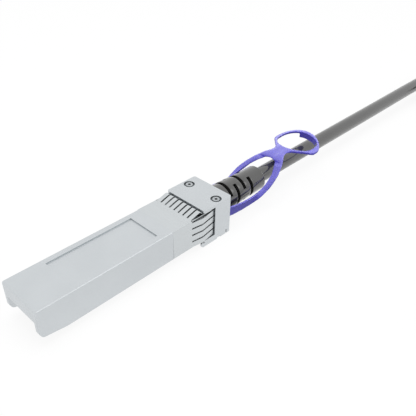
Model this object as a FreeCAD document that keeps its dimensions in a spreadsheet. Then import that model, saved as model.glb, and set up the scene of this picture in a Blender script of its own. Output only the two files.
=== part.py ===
"""Direct attach copper cable: a plug on each end of one round twinax cable.

A plug is drawn in its own frame: X runs from the mating end to the cable, Y across, Z up, with X = 0 at
the nose and Z = 0 on the underside of the body. Each piece is then placed on the surface that the plug
stands on. The near plug's foot is at the origin. The far plug lies beside it, at the other end of the coil.
"""
import FreeCAD, Part
import math
import os
import Sketcher

SIZES = (
    # Plug body, as the cage takes it
    ("body_width", 13.4),
    ("body_height", 8.5),
    ("nose_depth", 3.7),
    ("nose_wall", 1.3),
    ("nose_round", 0.5),
    ("nose_lead", 6.5),
    ("nose_lift", 1.0),
    ("body_round", 0.35),
    ("side_wall", 1.0),
    ("roof", 1.2),
    ("mouth_length", 9.0),
    ("recess_start", 9.8),
    ("recess_length", 24.4),
    ("recess_width", 10.0),
    ("recess_depth", 0.3),
    ("tray_start", 10.4),
    ("tray_thickness", 1.0),
    ("latch_stop", 34.6),
    ("latch_length", 2.6),
    ("latch_width", 2.6),
    ("latch_height", 0.45),
    # Sheet metal collar with its spring fingers
    ("collar_start", 37.8),
    ("collar_length", 6.5),
    ("collar_sheet", 0.2),
    ("finger_pitch", 1.63),
    ("finger_gap", 0.45),
    ("side_finger_pitch", 2.05),
    ("finger_rise", 0.95),
    ("finger_bow", 0.5),
    ("top_fingers", 8),
    ("side_fingers", 4),
    # Rear housing
    ("neck_step", 0.75),
    ("neck_height", 7.5),
    ("housing_start", 48.3),
    ("housing_end", 58.7),
    ("housing_flare", 0.25),
    ("housing_top", 9.5),
    ("housing_drop", 2.0),
    ("housing_wall", 0.5),
    ("housing_round", 0.6),
    ("wall_start", 52.5),
    ("lip_thickness", 0.75),
    ("lobe_radius", 0.9),
    ("pivot_radius", 0.22),
    ("edge_notch", 0.35),
    ("window_sill", 0.1),
    ("rear_wall", 1.0),
    ("ceiling", 1.2),
    # Cover screws
    ("screw_from_rear", 4.0),
    ("screw_offset", 5.0),
    ("head_radius", 1.25),
    ("head_gap", 0.25),
    ("head_height", 0.85),
    ("head_room", 0.03),
    ("thread_radius", 0.8),
    ("thread_length", 3.6),
    ("boss_radius", 1.25),
    ("post_height", 6.05),
    ("drive_radius", 0.4),
    # Slide, springs and cover below the body
    ("slide_sheet", 0.5),
    ("slide_gap", 0.12),
    ("slide_start", 35.6),
    ("prong_width", 2.6),
    ("slide_travel", 2.2),
    ("cover_start", 48.6),
    ("cover_thickness", 1.25),
    ("cover_round", 0.4),
    ("grip_width", 0.8),
    ("grip_depth", 0.3),
    ("ear_length", 1.7),
    ("ear_height", 5.4),
    ("spring_radius", 0.52),
    ("spring_wire", 0.11),
    ("spring_length", 5.0),
    ("spring_turns", 6),
    ("spring_margin", 1.2),
    ("groove_depth", 1.3),
    ("spring_stop", 0.5),
    ("pin_radius", 0.6),
    # Circuit card and what it carries
    ("card_start", 3.2),
    ("card_end", 36.5),
    ("card_width", 9.2),
    ("card_thickness", 1.0),
    ("card_height", 2.25),
    ("card_bevel", 0.3),
    ("card_notch", 1.0),
    ("contact_pitch", 0.8),
    ("contact_width", 0.5),
    ("contact_length", 2.3),
    ("contact_early", 0.3),
    ("contact_count", 10),
    ("copper", 0.05),
    ("chip_length", 3.0),
    ("chip_width", 4.4),
    ("chip_height", 0.9),
    ("chip_place", 9.0),
    ("lead_width", 0.24),
    ("lead_reach", 0.8),
    ("capacitor_length", 0.9),
    ("capacitor_width", 0.5),
    ("capacitor_height", 0.45),
    ("capacitor_place", 3.5),
    ("capacitor_pitch", 1.5),
    # Cable and what holds it
    ("cable_radius", 2.3),
    ("cable_height", 4.05),
    ("jacket_start", 54.4),
    ("core_radius", 0.5),
    ("core_offset", 0.75),
    ("core_spread", 1.8),
    ("core_straight", 3.0),
    ("comb_gap", 0.6),
    ("comb_length", 2.2),
    ("comb_rise", 1.2),
    ("ferrule_wall", 0.5),
    ("ferrule_length", 3.1),
    ("flange_thickness", 1.05),
    ("boot_length", 19.0),
    ("boot_radius", 4.35),
    ("boot_end_radius", 3.72),
    ("boot_neck_radius", 3.0),
    ("boot_flange_radius", 3.7),
    ("boot_slot", 0.9),
    ("boot_slot_pitch", 2.93),
    ("boot_slot_start", 3.4),
    ("boot_skin", 0.45),
    ("boot_slot_angle", 130.0),
    # Pull tab
    ("tab_thickness", 0.65),
    ("lip_depth", 1.55),
    ("arm_width", 2.9),
    ("tab_reach", 44.4),
    ("ring_width", 15.5),
    ("ring_rim", 1.85),
    ("ring_height", 6.1),
    ("waist_height", 5.1),
    ("waist_width", 4.8),
    ("crotch_radius", 2.8),
    # The wound cable and the far plug beside it
    ("coil_radius", 24.0),
    ("coil_x", 201.0),
    ("coil_y", -26.3),
    ("coil_height", 13.7),
    ("coil_layers", 2),
    ("run_lead", 11.65),
    ("run_sway", 0.1),
    ("run_height", 6.4),
    ("far_lead", 2.25),
    ("far_height", 6.9),
    ("tie_width", 7.0),
    ("tie_thickness", 0.6),
    ("far_x", 64.3),
    ("far_y", -67.4),
    ("clearance", 0.05),
)


class Size:
    """A number that keeps the sheet formula it came from, so that a feature can be bound to it."""

    def __init__(self, number, formula):
        self.number = float(number)
        self.formula = formula

    def __float__(self):
        return self.number

    def joined(self, sign, other, number):
        return Size(number, f"({self.formula} {sign} {formula_of(other)})")

    def __add__(self, other):
        return self.joined("+", other, self.number + float(other))

    def __sub__(self, other):
        return self.joined("-", other, self.number - float(other))

    def __mul__(self, other):
        return self.joined("*", other, self.number * float(other))

    def __truediv__(self, other):
        return self.joined("/", other, self.number / float(other))

    def __neg__(self):
        return Size(-self.number, f"(0 - {self.formula})")


def formula_of(value):
    """The formula of a size, or a plain number as text."""
    return value.formula if isinstance(value, Size) else f"{float(value):.6f}"


doc = FreeCAD.newDocument("DirectAttachCable")
sheet = doc.addObject("Spreadsheet::Sheet", "Sizes")


class Sheet:
    """Every driving dimension by its name in the sheet."""


dim = Sheet()
for row, (name, number) in enumerate(SIZES, start=1):
    sheet.set(f"A{row}", name)
    sheet.set(f"B{row}", str(number))
    sheet.setAlias(f"B{row}", name)
    setattr(dim, name, Size(number, f"Sizes.{name}"))
doc.recompute()

# Stations and levels that several pieces share
zero = dim.body_width * 0
half_body = dim.body_width / 2
half_housing = half_body + dim.housing_flare
collar_end = dim.collar_start + dim.collar_length
inner_half = half_body - dim.side_wall
neck_half = half_body - dim.neck_step
neck_inner = neck_half - dim.side_wall + 0.15
spring_middle = neck_inner - dim.spring_margin
bay_half = half_housing - dim.housing_wall
bay_start = dim.wall_start + 0.4
rear_inner = dim.housing_end - dim.rear_wall
cavity_top = dim.body_height - dim.roof
bay_top = dim.housing_top - dim.ceiling
floor = -dim.housing_drop
slide_top = -dim.slide_gap
slide_bottom = slide_top - dim.slide_sheet
cover_top = floor + dim.cover_thickness
cover_end = dim.housing_end - 0.6
foot_x = (dim.cover_start + cover_end) / 2
screw_x = dim.housing_end - dim.screw_from_rear
head_seat = dim.housing_top - dim.head_height - dim.head_room
beyond = half_housing + 1
arm_outer = bay_half - dim.clearance
arm_inner = arm_outer - dim.tab_thickness
ear_inner = arm_inner - dim.slide_sheet
channel_inner = ear_inner - 0.1
ear_start = dim.housing_end - dim.ear_length - 1.1
card_top = dim.card_height + dim.card_thickness
boot_start = dim.housing_end + dim.clearance
boot_end = dim.housing_end + dim.boot_length
groove_start = dim.wall_start - dim.spring_length - dim.spring_stop - dim.clearance * 4
stop_start = groove_start + dim.clearance * 3
below = floor - 1
pieces = []


def bind(thing, prop, value):
    """Sets a property, and ties it to the sheet where the value comes from there."""
    if isinstance(value, Size):
        thing.setExpression(prop, value.formula)
    elif prop.startswith("Placement.Base."):
        place = thing.Placement.Base
        setattr(place, prop[-1], float(value))
        thing.Placement.Base = place
    else:
        setattr(thing, prop, value)


def place(thing, x, y, z):
    """Puts a thing at a point of the plug's frame."""
    for axis, value in (("x", x), ("y", y), ("z", z)):
        bind(thing, f"Placement.Base.{axis}", value)
    return thing


def block(x, y, z):
    """A block between two levels along each axis."""
    thing = doc.addObject("Part::Box", "block")
    for side, (low, high) in (("Length", x), ("Width", y), ("Height", z)):
        bind(thing, side, (zero + high) - low)
    return place(thing, x[0], y[0], z[0])


def across(half):
    """The span from one side to the other of a width that is centred on the plug."""
    return (-half, half)


def both_sides(x, inner, outer, z):
    """The same block on the near side and on the far side."""
    return [block(x, (inner, outer), z), block(x, (-(zero + outer), -(zero + inner)), z)]


def rod(x, y, z, radius, length, along="x"):
    """A cylinder along X, Y or Z."""
    thing = doc.addObject("Part::Cylinder", "rod")
    bind(thing, "Radius", zero + radius)
    bind(thing, "Height", zero + length)
    if along == "x":
        thing.Placement.Rotation = FreeCAD.Rotation(FreeCAD.Vector(0, 1, 0), 90)
    if along == "y":
        thing.Placement.Rotation = FreeCAD.Rotation(FreeCAD.Vector(1, 0, 0), -90)
    return place(thing, x, y, z)


def fuse(things):
    """One solid from several."""
    thing = doc.addObject("Part::MultiFuse", "fuse")
    thing.Shapes = things
    return thing


def cut(base, tools):
    """A solid with others taken away."""
    thing = doc.addObject("Part::Cut", "cut")
    thing.Base = base
    thing.Tool = tools[0] if len(tools) == 1 else fuse(tools)
    return thing


def rounded(base, radius, chosen, kind="Part::Fillet"):
    """A solid with the edges rounded, or bevelled, whose two ends pass the test chosen."""
    doc.recompute()
    edges = []
    for number, edge in enumerate(base.Shape.Edges, start=1):
        ends = [vertex.Point for vertex in edge.Vertexes]
        if chosen(ends[0], ends[-1]):
            edges.append((number, float(radius), float(radius)))
    thing = doc.addObject(kind, "rounded")
    thing.Base = base
    thing.Edges = edges
    return thing


def same(a, b):
    return abs(float(a) - float(b)) < 1e-6


def keep(end, name, thing):
    """Names a finished piece of one plug and puts it where that plug stands."""
    pieces.append(thing)
    thing.Label = f"{end}_{name}"
    if end == "near":
        place(thing, -foot_x, 0, dim.housing_drop)
    else:
        place(thing, dim.far_x - foot_x, dim.far_y, dim.housing_drop)


def sketch_on(body, role, corners, offset=(0, 0, 0)):
    """A closed outline of straight lines on one of the body's origin planes."""
    sketch = body.newObject("Sketcher::SketchObject", "outline")
    plane = next(f for f in body.Origin.OriginFeatures if f.Role == role)
    sketch.AttachmentSupport = [(plane, "")]
    sketch.MapMode = "FlatFace"
    for axis, value in zip("xyz", offset):
        if isinstance(value, Size):
            sketch.setExpression(f"AttachmentOffset.Base.{axis}", value.formula)
    draw(sketch, corners)
    return sketch


def draw(sketch, corners):
    """Adds a closed outline to a sketch, each corner held by its two distances."""
    first = sketch.GeometryCount
    points = [FreeCAD.Vector(float(u), float(v), 0) for u, v in corners]
    count = len(points)
    for number in range(count):
        sketch.addGeometry(Part.LineSegment(points[number], points[(number + 1) % count]))
    for number in range(count):
        following = first + (number + 1) % count
        sketch.addConstraint(Sketcher.Constraint("Coincident", first + number, 2, following, 1))
    for number, (u, v) in enumerate(corners):
        for kind, value in (("DistanceX", u), ("DistanceY", v)):
            held = sketch.addConstraint(Sketcher.Constraint(kind, first + number, 1, float(value)))
            if isinstance(value, Size):
                sketch.setExpression(f"Constraints[{held}]", value.formula)


def origin_axis(body, role):
    return next(f for f in body.Origin.OriginFeatures if f.Role == role)


def row_of(body, feature, role, pitch, count):
    """Repeats a feature of a body along one of its axes."""
    pattern = body.newObject("PartDesign::LinearPattern", "row")
    pattern.Originals = [feature]
    pattern.Direction = (origin_axis(body, role), [""])
    pattern.Occurrences = int(float(count))
    bind(pattern, "Length", pitch * (float(count) - 1))
    body.Tip = pattern
    return pattern


def turned_copy(body, feature, sketch, axis):
    """Repeats a feature once more, half a turn about an axis of its sketch."""
    pattern = body.newObject("PartDesign::PolarPattern", "turned")
    pattern.Originals = [feature]
    pattern.Axis = (sketch, [axis])
    pattern.Angle = 360
    pattern.Occurrences = 2
    body.Tip = pattern
    return pattern


def nose_wedge(length, height):
    """A wedge at the lower front of the body, to cut away: it leads the nose's legs into the cage."""
    thing = doc.addObject("Part::Wedge", "wedge")
    for side, value in (("Xmin", zero), ("Xmax", length), ("X2min", zero), ("X2max", zero),
                        ("Ymin", zero), ("Ymax", height), ("Z2min", zero), ("Zmin", zero),
                        ("Zmax", beyond * 2), ("Z2max", beyond * 2)):
        bind(thing, side, value)
    thing.Placement.Rotation = FreeCAD.Rotation(FreeCAD.Vector(1, 0, 0), 90)
    return place(thing, 0, beyond, 0)


def top_shell(end):
    """Upper casting: nose legs, roof, side walls and rear housing in one piece."""
    front = block((zero, collar_end), across(half_body), (zero, dim.body_height))
    front = rounded(front, dim.nose_round, lambda a, b: same(a.x, 0) and same(b.x, 0)
                    and same(a.z, dim.body_height) and same(b.z, a.z))
    front = rounded(front, dim.body_round, lambda a, b: same(a.z, dim.body_height)
                    and same(b.z, dim.body_height) and abs(a.x - b.x) > float(dim.mouth_length))
    front = cut(front, [nose_wedge(dim.nose_lead, dim.nose_lift),
                        nose_wedge(dim.nose_lift, dim.nose_lift * 2.2)])
    neck = block((collar_end - 1, bay_start), across(neck_half), (zero, dim.neck_height))
    housing = block((dim.housing_start, dim.housing_end), across(half_housing),
                    (floor, dim.housing_top))
    housing = rounded(housing, dim.housing_round, lambda a, b: same(a.x, b.x)
                      and (same(a.y, b.y) or same(a.z + b.z, floor * 2)))
    window_top = dim.housing_top - dim.lip_thickness
    window = block((dim.housing_start - 1, dim.wall_start), across(half_housing + 1),
                   (-dim.window_sill, window_top))
    lobe_x, lobe_z = dim.housing_start + 0.1, floor + dim.lobe_radius
    lobes = [rod(lobe_x, y, lobe_z, dim.lobe_radius, dim.housing_wall, along="y")
             for y in (bay_half, -half_housing)]
    outside = fuse([front, neck, cut(housing, [window])] + lobes)

    seat = cut(block((dim.collar_start, collar_end + 1), across(half_body + 1),
                     (zero - 1, dim.body_height + 1)),
               [block((dim.collar_start - 1, collar_end + 2), across(half_body - dim.collar_sheet),
                      (dim.collar_sheet, dim.body_height - dim.collar_sheet))])
    seat_only = cut(seat, [block((collar_end, collar_end + 3), across(half_body + 2),
                                 (zero - 2, dim.body_height + 2))])
    mouth = block((zero - 1, dim.mouth_length + 1), across(half_body - dim.nose_wall),
                  (below, dim.body_height - dim.nose_depth))
    cavity = block((dim.mouth_length, collar_end - 0.6), across(inner_half), (below, cavity_top))
    neck_room = block((collar_end - 1, bay_start + 1), across(neck_inner),
                      (below, dim.neck_height - dim.side_wall))
    bay = block((bay_start, rear_inner), across(bay_half), (below, bay_top))
    rear_opening = block((bay_start, dim.housing_end + 1), across(channel_inner),
                         (below, dim.cable_height))
    channels = both_sides((bay_start, dim.housing_end + 1), channel_inner, bay_half,
                          (below, dim.ear_height + 0.6))
    notch = dim.edge_notch
    slits = both_sides((rear_inner - notch * 2.4, rear_inner - notch * 1.4), bay_half - 1, beyond,
                       (below, floor + notch * 3.6))
    slits += both_sides((rear_inner - notch * 12.3, rear_inner - notch * 8.3), bay_half - 1, beyond,
                        (below, floor + notch))
    slits.append(rod(lobe_x, -beyond, lobe_z + dim.lobe_radius * 0.6, dim.pivot_radius, beyond * 2,
                     along="y"))
    under = block((dim.housing_start - 1, bay_start + 1), across(bay_half), (below, zero))
    neck_hole = rod(rear_inner - 1, 0, dim.cable_height, dim.boot_neck_radius + 0.05, dim.rear_wall + 2)
    recess = block((dim.recess_start, dim.recess_start + dim.recess_length),
                   across(dim.recess_width / 2),
                   (dim.body_height - dim.recess_depth, dim.body_height + 1))
    hollow = cut(outside, [seat_only, mouth, cavity, neck_room, bay, rear_opening, under, neck_hole,
                           recess] + channels + slits)
    bosses, holes = [], []
    for side in (-1, 1):
        y = dim.screw_offset * side
        bosses.append(rod(screw_x, y, dim.post_height, dim.boss_radius, bay_top - dim.post_height + 0.2,
                          along="z"))
        holes.append(rod(screw_x, y, dim.post_height - 1, dim.thread_radius + 0.05,
                         dim.housing_top, along="z"))
        holes.append(rod(screw_x, y, head_seat, dim.head_radius + dim.head_gap, dim.housing_top,
                         along="z"))
    keep(end, "top_shell", cut(fuse([hollow] + bosses), holes))


def bottom_shell(end):
    """Lower casting: tray, latch boss, card ledges, spring grooves, screw posts and cable saddle."""
    tray = block((dim.tray_start, collar_end - 0.6), across(inner_half - dim.clearance),
                 (zero, dim.tray_thickness))
    neck_tray = block((collar_end - 1, bay_start), across(neck_inner - dim.clearance),
                      (zero, dim.groove_depth + 0.35))
    saddle = block((bay_start - 0.2, rear_inner), across(channel_inner - 0.1),
                   (zero, dim.cable_height))
    rear = block((rear_inner - 0.2, dim.housing_end), across(channel_inner - 0.1),
                 (zero, dim.cable_height))
    posts = []
    for side in (-1, 1):
        posts.append(rod(screw_x - 0.1, dim.screw_offset * side, zero, dim.boss_radius - 0.05,
                         dim.post_height, along="z"))
    ledges = both_sides((dim.tray_start + 2, dim.card_end - 4), dim.card_width / 2 - 0.6,
                        inner_half - 0.2, (dim.tray_thickness - 0.2, dim.card_height))
    boss = block((dim.latch_stop - dim.latch_length, dim.latch_stop), across(dim.latch_width / 2),
                 (-dim.latch_height, dim.tray_thickness / 2))
    boss = rounded(boss, dim.latch_height - 0.05,
                   lambda a, b: same(a.x, dim.latch_stop - dim.latch_length) and same(b.x, a.x)
                   and same(a.z, -dim.latch_height) and same(b.z, a.z), "Part::Chamfer")
    casting = fuse([tray, neck_tray, saddle, rear, boss] + posts + ledges)
    groove_half = dim.spring_radius + dim.spring_wire + 0.07
    flange = dim.flange_thickness + dim.clearance * 3
    tools = [rod(bay_start - dim.ferrule_length, 0, dim.cable_height, dim.cable_radius + dim.ferrule_wall,
                 rear_inner - bay_start + dim.ferrule_length),
             rod(bay_start, 0, dim.cable_height, dim.boot_neck_radius + dim.clearance,
                 dim.housing_end - bay_start + 1),
             rod(rear_inner - flange, 0, dim.cable_height, dim.boot_flange_radius + dim.clearance, flange)]
    for side in (-1, 1):
        y = spring_middle * side
        tools.append(block((groove_start, dim.wall_start), (y - groove_half, y + groove_half),
                           (below, dim.groove_depth)))
        tools.append(rod(screw_x, dim.screw_offset * side, dim.post_height - dim.thread_length,
                         dim.thread_radius, dim.post_height, along="z"))
    keep(end, "bottom_shell", cut(casting, tools))


def emi_spring(end):
    """Sheet metal collar round the body, with a row of spring fingers on each face."""
    body = doc.addObject("PartDesign::Body", "emi_spring")
    sheet_inner = half_body - dim.collar_sheet
    top = dim.body_height
    band = sketch_on(body, "YZ_Plane", [
        (-half_body, zero), (-half_body, top), (half_body, top), (half_body, zero),
        (inner_half, zero), (inner_half, dim.collar_sheet), (sheet_inner, dim.collar_sheet),
        (sheet_inner, top - dim.collar_sheet), (-sheet_inner, top - dim.collar_sheet),
        (-sheet_inner, dim.collar_sheet), (-inner_half, dim.collar_sheet), (-inner_half, zero),
    ], (zero, zero, dim.collar_start))
    pad = body.newObject("PartDesign::Pad", "band")
    pad.Profile = band
    bind(pad, "Length", dim.collar_length)
    strip = [(sheet_inner, top - dim.collar_sheet), (half_body, top - dim.collar_sheet), (half_body, top),
             (sheet_inner, top)]
    corners = sketch_on(body, "YZ_Plane", strip, (zero, zero, collar_end - 0.3))
    draw(corners, [(-y, z) for y, z in reversed(strip)])
    pad = body.newObject("PartDesign::Pad", "corner_strips")
    pad.Profile = corners
    bind(pad, "Length", dim.wall_start - 1.2 - collar_end)

    crest = dim.finger_rise
    t = dim.collar_sheet
    reach = dim.housing_start + 0.3 - collar_end
    rise = [(-0.3, zero), (reach * 0.4, crest * 0.66), (reach * 0.72, crest),
            (reach * 0.86, crest * 0.5), (reach, -crest * 0.25)]
    upper = [(collar_end + x, top + z) for x, z in rise]
    lower = [(collar_end + x, top + z - t) for x, z in reversed(rise)]
    width = dim.finger_pitch - dim.finger_gap
    first = dim.finger_pitch * ((float(dim.top_fingers) - 1) / 2) + width / 2
    finger = sketch_on(body, "XZ_Plane", upper + lower, (zero, zero, -first))
    pad = body.newObject("PartDesign::Pad", "top_finger")
    pad.Profile = finger
    bind(pad, "Length", width)
    row = row_of(body, pad, "Y_Axis", dim.finger_pitch, dim.top_fingers)
    row.Reversed = True

    reach = dim.wall_start - 0.2 - collar_end
    bow = dim.finger_bow
    wave = [(-0.3, zero), (reach * 0.28, bow * 0.7), (reach * 0.43, bow), (reach * 0.73, bow * 0.3),
            (reach, -bow * 0.3)]
    width = dim.side_finger_pitch - dim.finger_gap
    for side in (-1, 1):
        outer = [(collar_end + x, (half_body + y) * side) for x, y in wave]
        inner = [(collar_end + x, (half_body + y - t) * side) for x, y in reversed(wave)]
        finger = sketch_on(body, "XY_Plane", outer + inner, (zero, zero, dim.side_finger_pitch * 0.05))
        pad = body.newObject("PartDesign::Pad", "side_finger")
        pad.Profile = finger
        bind(pad, "Length", width)
        row_of(body, pad, "Z_Axis", dim.side_finger_pitch, dim.side_fingers)
    keep(end, "emi_spring", body)


def cover_screws(end):
    """Two screws with flat heads and a round drive socket."""
    screws = []
    for side in (-1, 1):
        y = dim.screw_offset * side
        head = rod(screw_x, y, head_seat, dim.head_radius, dim.head_height, along="z")
        shank_start = dim.post_height - dim.thread_length + 0.3
        shank = rod(screw_x, y, shank_start, dim.thread_radius - 0.02, head_seat + 0.1 - shank_start,
                    along="z")
        socket = rod(screw_x, y, head_seat + dim.head_height / 2, dim.drive_radius, dim.head_height,
                     along="z")
        screws.append(cut(fuse([head, shank]), [socket]))
    group = doc.addObject("Part::Compound", "cover_screws")
    group.Links = screws
    keep(end, "cover_screws", group)


def latch_cover(end):
    """Plate that closes the housing from below. The plug stands on it."""
    plate = block((dim.cover_start, cover_end), across(bay_half), (floor, cover_top))
    plate = rounded(plate, dim.cover_round, lambda a, b: same(a.x, dim.cover_start) and same(b.x, a.x)
                    and same(a.z, floor) and same(b.z, a.z))
    rails = both_sides((dim.cover_start + 0.5, screw_x + 1.2), arm_inner + 0.1, bay_half,
                       (cover_top - 0.1, zero))
    grip = [block((foot_x + dim.grip_width * x, foot_x + dim.grip_width * (x + 1)), across(half_body / 2),
                  (below, floor + dim.grip_depth)) for x in (-3.9, -2, 1, 2.9)]
    keep(end, "latch_cover", cut(fuse([plate] + rails), grip))


def latch_slide(end):
    """Stamped slide: two prongs that press the cage's latch, spring stops and two ears for the tab."""
    half = arm_inner
    level = (slide_bottom, slide_top)
    plate = block((collar_end, ear_start + dim.ear_length), across(half), level)
    prongs = both_sides((dim.slide_start, collar_end + 1), half - dim.prong_width, half, level)
    ears = both_sides((ear_start, ear_start + dim.ear_length), ear_inner, arm_inner,
                      (slide_bottom, dim.ear_height))
    stop_half = dim.spring_radius + dim.spring_wire
    stops = []
    for side in (-1, 1):
        y = spring_middle * side
        stops.append(block((stop_start, stop_start + dim.spring_stop), (y - stop_half, y + stop_half),
                           (slide_bottom, dim.groove_depth - dim.clearance * 2)))
    window = block((dim.cover_start, dim.cover_start + dim.ear_length * 2), across(half / 2), (floor, zero))
    notch = block((boot_start - dim.slide_travel - 0.25, dim.housing_end), across(half * 0.43), (floor, zero))
    hole = rod(ear_start + dim.ear_length / 2, -beyond, dim.cable_height, dim.pin_radius + 0.02,
               beyond * 2, along="y")
    keep(end, "latch_slide", cut(fuse([plate] + prongs + ears + stops), [window, notch, hole]))


def return_springs(end):
    """Two coil springs between the slide's stops and the end of their grooves."""
    springs = []
    wire = float(dim.spring_wire)
    radius = float(dim.spring_radius)
    first = float(stop_start + dim.spring_stop) + wire
    length = float(dim.spring_length) - 2 * wire - 0.1
    steps = int(float(dim.spring_turns)) * 8
    for side in (-1, 1):
        middle = FreeCAD.Vector(first, float(spring_middle) * side, float(dim.groove_depth) / 2 + 0.02)
        sections = []
        for number in range(steps + 1):
            angle = math.pi * number / 4
            out = FreeCAD.Vector(0, math.cos(angle), math.sin(angle))
            along = FreeCAD.Vector(wire, 0, 0)
            point = middle + FreeCAD.Vector(length * number / steps, 0, 0) + out * radius
            corners = [point - along - out * wire, point + along - out * wire, point + along + out * wire,
                       point - along + out * wire]
            sections.append(Part.makePolygon(corners + corners[:1]))
        springs.append(Part.makeLoft(sections, True, True))
    group = doc.addObject("Part::Feature", "return_springs")
    group.Shape = Part.makeCompound(springs)
    keep(end, "return_springs", group)


def tab_pins(end):
    """Two pins through the slide's ears and the ends of the tab's arms."""
    pins = []
    for side in (-1, 1):
        low = ear_inner if side > 0 else -arm_outer
        pins.append(rod(ear_start + dim.ear_length / 2, low, dim.cable_height, dim.pin_radius,
                        arm_outer - ear_inner, along="y"))
    group = doc.addObject("Part::Compound", "tab_pins")
    group.Links = pins
    keep(end, "tab_pins", group)


def paddle_card(end):
    """Circuit card with a bevelled mating edge and a notch on each side."""
    body = doc.addObject("PartDesign::Body", "paddle_card")
    half = dim.card_width / 2
    deep = dim.card_notch * 0.4
    notch = (dim.tray_start + deep, dim.tray_start + deep + dim.card_notch)
    side = [(dim.card_start, half), (notch[0], half), (notch[0], half - deep), (notch[1], half - deep),
            (notch[1], half), (dim.card_end, half)]
    outline = sketch_on(body, "XY_Plane", side + [(x, -(zero + y)) for x, y in reversed(side)],
                        (zero, zero, dim.card_height))
    pad = body.newObject("PartDesign::Pad", "board")
    pad.Profile = outline
    bind(pad, "Length", dim.card_thickness)
    doc.recompute()
    names = []
    for number, edge in enumerate(pad.Shape.Edges, start=1):
        ends = [vertex.Point for vertex in edge.Vertexes]
        if len(ends) == 2 and same(ends[0].x, dim.card_start) and same(ends[1].x, dim.card_start):
            if same(ends[0].z, ends[1].z):
                names.append(f"Edge{number}")
    bevel = body.newObject("PartDesign::Chamfer", "bevel")
    bevel.Base = (pad, names)
    bind(bevel, "Size", dim.card_bevel)
    body.Tip = bevel
    keep(end, "paddle_card", body)


def card_contacts(end):
    """Gold pads in a row on the top and the bottom of the card's mating end."""
    pads = []
    first = dim.contact_pitch * ((float(dim.contact_count) - 1) / 2)
    start = dim.card_start + dim.card_bevel + 0.25
    for level in (card_top, dim.card_height - dim.copper):
        for number in range(int(float(dim.contact_count))):
            middle = dim.contact_pitch * number - first
            end_of_pad = start + dim.contact_length
            if number % 3 == 0:
                end_of_pad = end_of_pad + dim.contact_early
            pads.append(block((start, end_of_pad),
                              (middle - dim.contact_width / 2, middle + dim.contact_width / 2),
                              (level, level + dim.copper)))
    group = doc.addObject("Part::Compound", "card_contacts")
    group.Links = pads
    keep(end, "card_contacts", group)


def memory_chip(end):
    """Small memory in a moulded package, with its leads on both sides."""
    start = dim.tray_start + dim.chip_place
    body = block((start, start + dim.chip_length), across(dim.chip_width / 2),
                 (card_top + dim.lead_width * 0.4, card_top + dim.chip_height))
    leads = []
    for number in range(4):
        x = start + dim.chip_length * ((number + 0.5) / 4) - dim.lead_width / 2
        leads.append(block((x, x + dim.lead_width), across(dim.chip_width / 2 + dim.lead_reach),
                           (card_top, card_top + dim.lead_width * 0.8)))
    keep(end, "memory_chip", fuse([body] + leads))


def capacitors(end):
    """Coupling capacitors, four on each face of the card behind the contacts."""
    chips = []
    start = dim.tray_start + dim.capacitor_place
    for low in (card_top, dim.card_height - dim.capacitor_height):
        for number in range(4):
            y = dim.capacitor_pitch * (number - 1.5) - dim.capacitor_width / 2
            chips.append(block((start, start + dim.capacitor_length), (y, y + dim.capacitor_width),
                               (low, low + dim.capacitor_height)))
    group = doc.addObject("Part::Compound", "capacitors")
    group.Links = chips
    keep(end, "capacitors", group)


def core_route(side, level):
    """Points of one insulated core, from its pad on the card into the cable's jacket."""
    board = float(card_top if level > 0 else dim.card_height) + level * (float(dim.core_radius) + 0.02)
    middle = float(dim.cable_height) + level * float(dim.core_offset)
    spread = side * float(dim.core_spread)
    close = side * float(dim.core_offset)
    return [FreeCAD.Vector(float(dim.card_end - dim.core_straight * 1.3), spread, board),
            FreeCAD.Vector(float(dim.card_end + dim.core_straight), spread, board),
            FreeCAD.Vector(float(dim.jacket_start - dim.core_straight), close, middle),
            FreeCAD.Vector(float(dim.jacket_start), close, middle)]


def tube(points, radius, sides=0):
    """A tube along straight runs joined by tangent arcs, round or with flat sides, and each arc's radius."""
    edges, bends = [], []
    start = points[0]
    for before, corner, after in zip(points, points[1:], points[2:]):
        come, leave = corner - before, after - corner
        turn = come.getAngle(leave)
        back = 0.45 * min(come.Length, leave.Length)
        bends.append(back / math.tan(turn / 2))
        come.normalize()
        leave.normalize()
        first, last = corner - come * back, corner + leave * back
        inward = leave - come
        inward.normalize()
        middle = corner + inward * (bends[-1] / math.cos(turn / 2) - bends[-1])
        edges.append(Part.LineSegment(start, first).toShape())
        edges.append(Part.Arc(first, middle, last).toShape())
        start = last
    edges.append(Part.LineSegment(start, points[-1]).toShape())
    wire = Part.Wire(edges)
    along = points[1] - points[0]
    circle = Part.makeCircle(radius, points[0], along)
    section = Part.Wire([circle])
    if sides:
        corners = [circle.valueAt(2 * math.pi * number / sides) for number in range(sides)]
        section = Part.makePolygon(corners + corners[:1])
    return wire.makePipeShell([section], True, False), wire.Length, bends


def twinax_cores(end):
    """Four insulated cores, two soldered above the card and two below it."""
    cores = [tube(core_route(side, level), float(dim.core_radius), 8)[0]
             for side in (-1, 1) for level in (-1, 1)]
    group = doc.addObject("Part::Feature", "twinax_cores")
    group.Shape = Part.makeCompound(cores)
    keep(end, "twinax_cores", group)


def wire_comb(end):
    """Block on the tray that spreads the cores before the card."""
    start = dim.card_end + dim.comb_gap
    base = block((start, start + dim.comb_length), across(neck_inner - dim.comb_gap),
                 (dim.tray_thickness, dim.cable_height + dim.comb_rise))
    slots = []
    slot_half = dim.core_radius + dim.clearance
    for side in (-1, 1):
        y = dim.core_spread * side
        slots.append(block((start - 1, start + dim.comb_length + 1), (y - slot_half, y + slot_half),
                           (dim.card_height - dim.core_radius * 2 - 0.1,
                            dim.cable_height + dim.comb_rise + 1)))
    keep(end, "wire_comb", cut(base, slots))


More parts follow.
